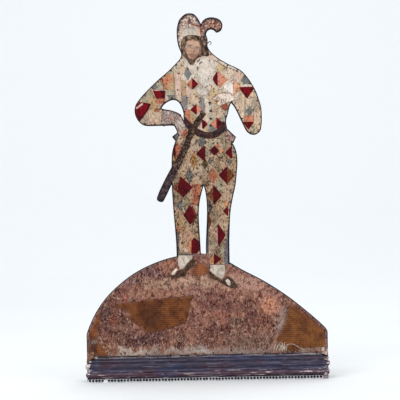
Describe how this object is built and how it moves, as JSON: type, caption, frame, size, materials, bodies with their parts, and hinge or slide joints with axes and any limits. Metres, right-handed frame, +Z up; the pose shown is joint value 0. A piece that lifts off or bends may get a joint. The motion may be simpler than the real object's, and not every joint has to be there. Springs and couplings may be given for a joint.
{
  "type": "commedia dell'arte board figure",
  "caption": "Cut-out board figure of a comedy servant in lozenge patchwork cloth, standing on a rounded cloth-covered mound in a moulded base with a beaded strip.",
  "frame": {"origin": "middle of the whole base's outline, on the surface that it stands on", "axes": "+Z up, the cloth-covered front faces -Y, +X to the viewer's right"},
  "size_m": [0.396, 0.06, 0.5994],
  "materials": {
    "dark_wood": "dark paint, worn satin",
    "plain_wood": "bare aged wood, matt",
    "painted_moulding": "dark blue-grey and maroon paint, worn at the edges",
    "pale_rail": "pale paint with glossy dark beads",
    "pile_cloth": "worn pile cloth, pink and brown",
    "brown_cloth": "ribbed brown velvet",
    "cream_cloth": "faded patchwork, matt",
    "crimson_cloth": "crimson cloth, matt",
    "white_cloth": "aged white linen",
    "skin_cloth": "painted cloth, matt",
    "hair_cloth": "short brown pile",
    "dark_cloth": "dark brown worn cloth"
  },
  "bodies": {
    "root": {"figure_board": "dark_wood", "front_moulding": "painted_moulding", "left_return_moulding": "painted_moulding", "right_return_moulding": "painted_moulding", "bead_rail": "pale_rail", "base_block": "plain_wood", "mound_cloth": "pile_cloth", "brown_cloth_middle": "brown_cloth", "brown_cloth_corner": "brown_cloth", "brown_cloth_edge": "brown_cloth", "brown_cloth_feet": "brown_cloth", "trousers": "cream_cloth", "jacket": "cream_cloth", "right_sleeve": "cream_cloth", "left_sleeve": "cream_cloth", "hat": "white_cloth", "hat_tail": "brown_cloth", "hair": "hair_cloth", "face": "skin_cloth", "collar": "white_cloth", "right_hand": "skin_cloth", "left_hand": "skin_cloth", "belt": "dark_cloth", "bat": "dark_cloth", "right_hip_flap": "cream_cloth", "left_hip_flap": "cream_cloth", "right_stocking": "white_cloth", "right_shoe": "dark_cloth", "right_bow": "white_cloth", "left_stocking": "white_cloth", "left_shoe": "dark_cloth", "left_bow": "white_cloth", "right_chest_patch": "crimson_cloth", "left_chest_patch": "crimson_cloth", "left_shoulder_patch": "crimson_cloth", "left_forearm_patch": "crimson_cloth", "right_waist_patch": "crimson_cloth", "middle_waist_patch": "crimson_cloth", "left_waist_patch": "crimson_cloth", "right_hip_patch": "crimson_cloth", "middle_hip_patch": "crimson_cloth", "left_hip_patch": "crimson_cloth", "outer_hip_patch": "crimson_cloth", "left_thigh_patch": "crimson_cloth", "left_knee_patch": "crimson_cloth", "right_knee_patch": "crimson_cloth", "left_calf_patch": "crimson_cloth", "left_shin_patch": "crimson_cloth", "left_ankle_patch": "crimson_cloth", "right_upper_sleeve_patch": "crimson_cloth", "right_elbow_patch": "crimson_cloth", "right_thigh_patch": "crimson_cloth", "right_shin_patch": "crimson_cloth", "jacket_button_1": "dark_cloth", "jacket_button_2": "dark_cloth", "jacket_button_3": "dark_cloth", "jacket_button_4": "dark_cloth"}
  },
  "joints": []
}
